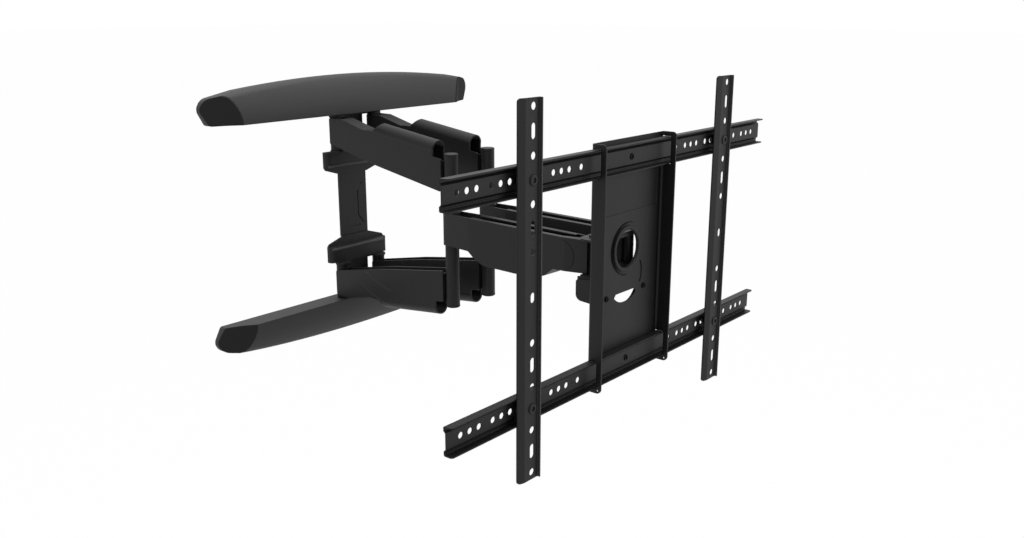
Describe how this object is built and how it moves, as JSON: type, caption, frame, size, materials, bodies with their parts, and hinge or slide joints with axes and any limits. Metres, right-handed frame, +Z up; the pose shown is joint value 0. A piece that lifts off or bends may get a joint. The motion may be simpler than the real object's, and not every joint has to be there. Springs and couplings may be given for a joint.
{
  "type": "swivel tv wall mount",
  "caption": "Full-motion wall mount for a flat screen: folding arms join a wall bracket with bow-shaped covers to a tilting panel that carries horizontal and upright slotted rails.",
  "frame": {"origin": "middle of the four wall bolts, on the wall plane", "axes": "+X right as seen from in front of the screen, +Y into the wall, +Z up; the screen faces -Y"},
  "size_m": [0.643, 0.5442, 0.417],
  "materials": {
    "coated_steel": "satin black powder coat",
    "cover_plastic": "fine matte dark grey",
    "ring_plastic": "satin dark grey",
    "washer_plastic": "plain black",
    "fastener_steel": "black oxide, satin"
  },
  "bodies": {
    "wall": {"wall_column": "coated_steel", "shoulder_bracket_upper": "coated_steel", "shoulder_bracket_lower": "coated_steel", "wall_rail_upper": "coated_steel", "wall_rail_lower": "coated_steel", "cover_upper": "cover_plastic", "cover_lower": "cover_plastic", "cover_cap_upper_left": "cover_plastic", "cover_cap_upper_right": "cover_plastic", "cover_cap_lower_left": "cover_plastic", "cover_cap_lower_right": "cover_plastic", "shoulder_washers_left": "washer_plastic", "shoulder_washers_right": "washer_plastic", "shoulder_pins_left": "fastener_steel", "shoulder_pins_right": "fastener_steel"},
    "head": {"head_yoke": "coated_steel", "head_pin_left": "fastener_steel", "head_pin_right": "fastener_steel", "head_washers": "washer_plastic"},
    "screen_frame": {"panel": "coated_steel", "cable_ring": "ring_plastic", "tilt_bracket": "coated_steel", "tilt_pins": "fastener_steel", "panel_screws": "fastener_steel", "horizontal_rail_upper": "coated_steel", "horizontal_rail_lower": "coated_steel", "centre_bolts": "fastener_steel", "upright_rail_left": "coated_steel", "upright_rail_right": "coated_steel", "rail_bolts": "fastener_steel", "rail_spacers": "fastener_steel"},
    "rear_left": {"rear_wing_upper_left": "coated_steel", "rear_wing_lower_left": "coated_steel", "shoulder_tubes_left": "coated_steel", "elbow_tubes_left": "coated_steel", "elbow_pin_left": "fastener_steel", "elbow_caps_left": "fastener_steel", "elbow_washers_left": "washer_plastic"},
    "front_left": {"front_arm_left": "coated_steel", "middle_tube_left": "coated_steel", "head_tube_left": "coated_steel"},
    "rear_right": {"rear_wing_upper_right": "coated_steel", "rear_wing_lower_right": "coated_steel", "shoulder_tubes_right": "coated_steel", "elbow_tubes_right": "coated_steel", "elbow_pin_right": "fastener_steel", "elbow_caps_right": "fastener_steel", "elbow_washers_right": "washer_plastic"},
    "front_right": {"front_arm_right": "coated_steel", "middle_tube_right": "coated_steel", "head_tube_right": "coated_steel"}
  },
  "joints": [
    {"name": "fold", "type": "hinge", "parent": "wall", "child": "rear_left", "pos_m": [-0.03675, -0.019, 0], "axis": [0, 0, -1], "range_deg": [0, 80]},
    {"name": "left_elbow", "type": "hinge", "parent": "rear_left", "child": "front_left", "pos_m": [-0.04689, -0.26099, 0], "axis": [0, 0, 1], "range_deg": [0, 160]},
    {"name": "left_head_pivot", "type": "hinge", "parent": "front_left", "child": "head", "pos_m": [-0.05704, -0.50297, 0], "axis": [0, 0, -1], "range_deg": [0, 80]},
    {"name": "right_shoulder", "type": "hinge", "parent": "wall", "child": "rear_right", "pos_m": [0.03675, -0.019, 0], "axis": [0, 0, 1], "range_deg": [0, 80]},
    {"name": "right_elbow", "type": "hinge", "parent": "rear_right", "child": "front_right", "pos_m": [0.02661, -0.26099, 0], "axis": [0, 0, -1], "range_deg": [0, 160]},
    {"name": "tilt", "type": "hinge", "parent": "head", "child": "screen_frame", "pos_m": [-0.02029, -0.50297, -0.031], "axis": [1, 0, 0], "range_deg": [-3, 12]}
  ],
  "couplings": [
    {"joint": "left_elbow", "follows": "fold", "ratio": 2},
    {"joint": "left_head_pivot", "follows": "fold", "ratio": 1},
    {"joint": "right_shoulder", "follows": "fold", "ratio": 1},
    {"joint": "right_elbow", "follows": "fold", "ratio": 2}
  ]
}
